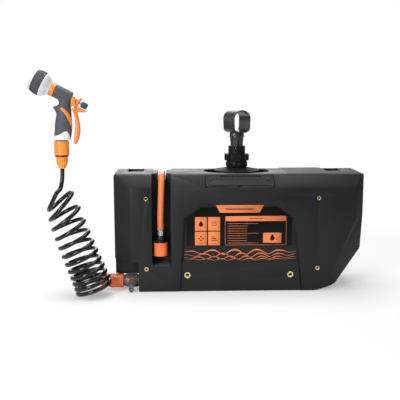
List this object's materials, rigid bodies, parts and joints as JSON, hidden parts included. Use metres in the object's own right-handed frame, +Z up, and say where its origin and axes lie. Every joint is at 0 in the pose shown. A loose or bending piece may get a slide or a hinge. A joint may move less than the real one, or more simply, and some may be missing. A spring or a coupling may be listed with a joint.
{
  "type": "portable water tank with tap and spray gun",
  "caption": "Flat portable water tank with outlet tap, coiled hose, spray gun, stowed filling hose, hand pockets and a screw cap that carries a gun holder.",
  "frame": {"origin": "middle of the tank's flat base, under the axis of the filler cap, half-way through the tank's depth", "axes": "+Z up, the front with the label faces -Y, +X runs from the tap end to the cut-away end"},
  "size_m": [0.802, 0.2373, 0.5355],
  "materials": {
    "tank_plastic": "fine moulded texture, black polyethylene",
    "cover_plastic": "smooth matt dark grey",
    "label_film": "glossy black film",
    "brass": "turned, bright",
    "steel": "bright",
    "orange_plastic": "moulded, semi-gloss orange",
    "orange_hose": "smooth orange hose",
    "black_hose": "glossy black polyurethane tube",
    "dark_plastic": "moulded black, satin",
    "tap_plastic": "moulded dark grey",
    "grip_plastic": "soft-touch dark blue grey",
    "silver_plastic": "silver lacquered",
    "seal_rubber": "black seal rubber"
  },
  "bodies": {
    "tank": {"tank_shell": "tank_plastic", "top_plate": "cover_plastic", "plate_screw_left": "dark_plastic", "plate_screw_right": "dark_plastic", "label_plate": "label_film", "brass_insert_upper_left": "brass", "brass_insert_lower_left": "brass", "brass_insert_upper_right": "brass", "brass_insert_lower_right": "brass", "large_insert_left": "brass", "large_insert_right": "brass", "fill_fitting": "dark_plastic", "fill_lock_nut": "dark_plastic", "back_clamp": "steel", "fill_hose": "orange_hose", "fill_clamp": "steel", "fill_core": "dark_plastic", "tap_body": "tap_plastic", "tap_lock_nut": "dark_plastic", "tap_connector_core": "dark_plastic", "tap_connector_nut": "orange_plastic", "hose_lead_tap": "black_hose", "coil_hose": "black_hose", "hose_lead_gun": "black_hose", "gun_connector_core": "dark_plastic", "gun_connector_nut": "orange_plastic"},
    "gasket": {"filler_gasket": "seal_rubber"},
    "cap": {"filler_cap": "dark_plastic", "holder_ring": "dark_plastic"},
    "holder_nut": {"holder_nut": "dark_plastic"},
    "holder": {"holder_socket": "dark_plastic", "holder_loop": "dark_plastic"},
    "tap_handle": {"tap_handle": "tap_plastic", "tap_stem": "steel", "tap_ring": "orange_plastic", "tap_ball": "steel"},
    "tap_sleeve": {"tap_connector_sleeve": "orange_plastic"},
    "gun_sleeve": {"gun_connector_sleeve": "orange_plastic"},
    "fill_sleeve": {"fill_sleeve": "orange_plastic"},
    "gun_nipple": {"gun_nipple": "dark_plastic"},
    "gun": {"gun_body": "grip_plastic", "gun_inlay": "orange_plastic", "gun_collar": "silver_plastic", "gun_yoke": "orange_plastic", "trigger_pin": "steel", "gun_ring": "orange_plastic", "gun_cone": "silver_plastic", "valve_spring": "steel"},
    "dial": {"gun_dial": "grip_plastic", "gun_dial_face": "steel"},
    "trigger": {"trigger": "orange_plastic"},
    "valve_stem": {"valve_stem": "steel", "valve_seal": "seal_rubber"},
    "flow_knob": {"flow_knob": "grip_plastic"}
  },
  "joints": [
    {"name": "cap_lift", "type": "slide", "parent": "tank", "child": "gasket", "axis": [0, 0, 1], "range_m": [0, 0.12]},
    {"name": "cap_turn", "type": "hinge", "parent": "gasket", "child": "cap", "pos_m": [0, 0.015, 0.29], "axis": [0, 0, 1], "continuous": true},
    {"name": "holder_nut_turn", "type": "hinge", "parent": "cap", "child": "holder_nut", "pos_m": [0, 0.015, 0.32], "axis": [0, 0, 1], "continuous": true},
    {"name": "holder_swivel", "type": "hinge", "parent": "cap", "child": "holder", "pos_m": [0, 0.015, 0.35], "axis": [0, 0, 1], "continuous": true},
    {"name": "tap_turn", "type": "hinge", "parent": "tank", "child": "tap_handle", "pos_m": [-0.2635, -0.05, 0.0215], "axis": [0, 1, 0], "range_deg": [0, 90]},
    {"name": "tap_sleeve_pull", "type": "slide", "parent": "tank", "child": "tap_sleeve", "axis": [-1, 0, 0], "range_m": [0, 0.0032], "stiffness_N_per_m": 300, "springref_m": -0.002},
    {"name": "gun_sleeve_pull", "type": "slide", "parent": "tank", "child": "gun_sleeve", "axis": [0, 0, -1], "range_m": [0, 0.0032], "stiffness_N_per_m": 300, "springref_m": -0.002},
    {"name": "fill_sleeve_pull", "type": "slide", "parent": "tank", "child": "fill_sleeve", "axis": [0, 0, 1], "range_m": [0, 0.0032], "stiffness_N_per_m": 300, "springref_m": -0.002},
    {"name": "gun_release", "type": "slide", "parent": "tank", "child": "gun_nipple", "axis": [0, 0, 1], "range_m": [0, 0.06]},
    {"name": "gun_swivel", "type": "hinge", "parent": "gun_nipple", "child": "gun", "pos_m": [-0.4205, -0.095, 0.372], "axis": [0, 0, 1], "continuous": true},
    {"name": "dial_turn", "type": "hinge", "parent": "gun", "child": "dial", "pos_m": [-0.4319, -0.095, 0.4872], "axis": [-0.887, 0, 0.4617], "continuous": true},
    {"name": "trigger_pull", "type": "hinge", "parent": "gun", "child": "trigger", "pos_m": [-0.3893, -0.095, 0.4484], "axis": [0, 1, 0], "range_deg": [0, 5.2]},
    {"name": "stem_slide", "type": "slide", "parent": "gun", "child": "valve_stem", "axis": [0.887, 0, -0.4617], "range_m": [0, 0.00128], "stiffness_N_per_m": 300, "springref_m": -0.003},
    {"name": "flow_knob_turn", "type": "hinge", "parent": "valve_stem", "child": "flow_knob", "pos_m": [-0.4319, -0.095, 0.4872], "axis": [-0.887, 0, 0.4617], "continuous": true}
  ],
  "couplings": [
    {"joint": "trigger_pull", "follows": "stem_slide", "rad_per_m": 67.8}
  ]
}
